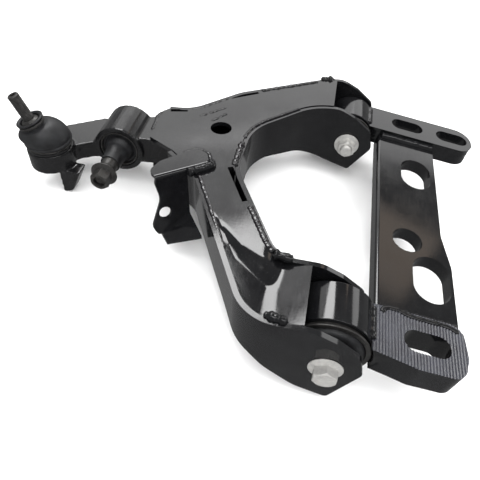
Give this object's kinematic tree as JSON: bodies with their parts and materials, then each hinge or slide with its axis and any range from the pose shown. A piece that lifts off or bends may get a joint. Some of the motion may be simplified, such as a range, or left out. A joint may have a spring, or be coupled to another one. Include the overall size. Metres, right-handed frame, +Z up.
{
  "type": "suspension control arm",
  "caption": "Welded A-shaped lower suspension control arm with slotted frame bracket, bolted pivot bushings, booted ball joint, damper pin and side link bracket.",
  "frame": {"origin": "middle of the part's box, at its lowest height, with the bracket level", "axes": "+X from the ball joint towards the frame bracket, +Y along the pivot axis towards the rear bushing, +Z up, out of the bracket's bolted faces"},
  "size_m": [0.5162, 0.416, 0.1089],
  "materials": {
    "gloss_black": "gloss black paint over welded steel plate",
    "gloss_black_machined": "gloss black paint over a serrated machined pad",
    "satin_black": "satin black paint over forged steel",
    "rubber": "matte black moulded rubber",
    "zinc": "pale zinc plated steel",
    "black_steel": "black phosphated steel",
    "bare_steel": "bare drawn steel",
    "acetal": "natural moulded acetal"
  },
  "bodies": {
    "frame_bracket": {"bracket_plate": "gloss_black", "rear_foot": "gloss_black", "front_foot": "gloss_black_machined", "front_eye": "gloss_black", "rear_eye": "gloss_black", "front_bushing_outer_sleeve": "black_steel", "rear_bushing_outer_sleeve": "black_steel", "front_bushing_rubber": "rubber", "rear_bushing_rubber": "rubber"},
    "control_arm": {"arm_top_plate": "gloss_black", "arm_bottom_plate": "gloss_black", "arm_front_side_plate": "gloss_black", "arm_inner_side_plate": "gloss_black", "arm_rear_side_plate": "gloss_black", "outer_casting": "satin_black", "link_bracket": "gloss_black", "front_bushing_inner_sleeve": "bare_steel", "rear_bushing_inner_sleeve": "bare_steel", "front_pivot_bolt": "zinc", "front_pivot_nut": "zinc", "rear_pivot_bolt": "zinc", "rear_pivot_nut": "zinc", "ball_joint_housing": "satin_black", "ball_joint_cap": "black_steel", "boot_lower_ring": "black_steel", "dust_boot": "rubber", "damper_bushing_sleeve": "black_steel", "damper_bushing_rubber": "rubber"},
    "ball_seat": {"ball_seat": "acetal"},
    "boot_collar": {"boot_upper_ring": "black_steel"},
    "ball_stud": {"ball_stud": "black_steel"},
    "damper_pin": {"damper_pin": "black_steel", "damper_nut": "black_steel"}
  },
  "joints": [
    {"name": "arm_swing", "type": "hinge", "parent": "frame_bracket", "child": "control_arm", "pos_m": [0.10111, 0.00675, 0.05507], "axis": [0, 1, 0], "range_deg": [-15, 20], "stiffness_Nm_per_rad": 400},
    {"name": "stud_swing", "type": "hinge", "parent": "control_arm", "child": "ball_seat", "pos_m": [-0.22193, -0.01725, 0.03997], "axis": [0, 1, 0], "range_deg": [-3, 37], "deforming": ["dust_boot"]},
    {"name": "stud_rock", "type": "hinge", "parent": "ball_seat", "child": "boot_collar", "pos_m": [-0.22193, -0.01725, 0.03997], "axis": [0.9063, 0, 0.4226], "range_deg": [-17, 7], "deforming": ["dust_boot"]},
    {"name": "stud_spin", "type": "hinge", "parent": "boot_collar", "child": "ball_stud", "pos_m": [-0.22193, -0.01725, 0.03997], "axis": [-0.4211, -0.0834, 0.9032], "continuous": true},
    {"name": "damper_twist", "type": "hinge", "parent": "control_arm", "child": "damper_pin", "pos_m": [-0.15516, 0.03225, 0.04632], "axis": [0, 1, 0], "range_deg": [-15, 15], "stiffness_Nm_per_rad": 60}
  ]
}
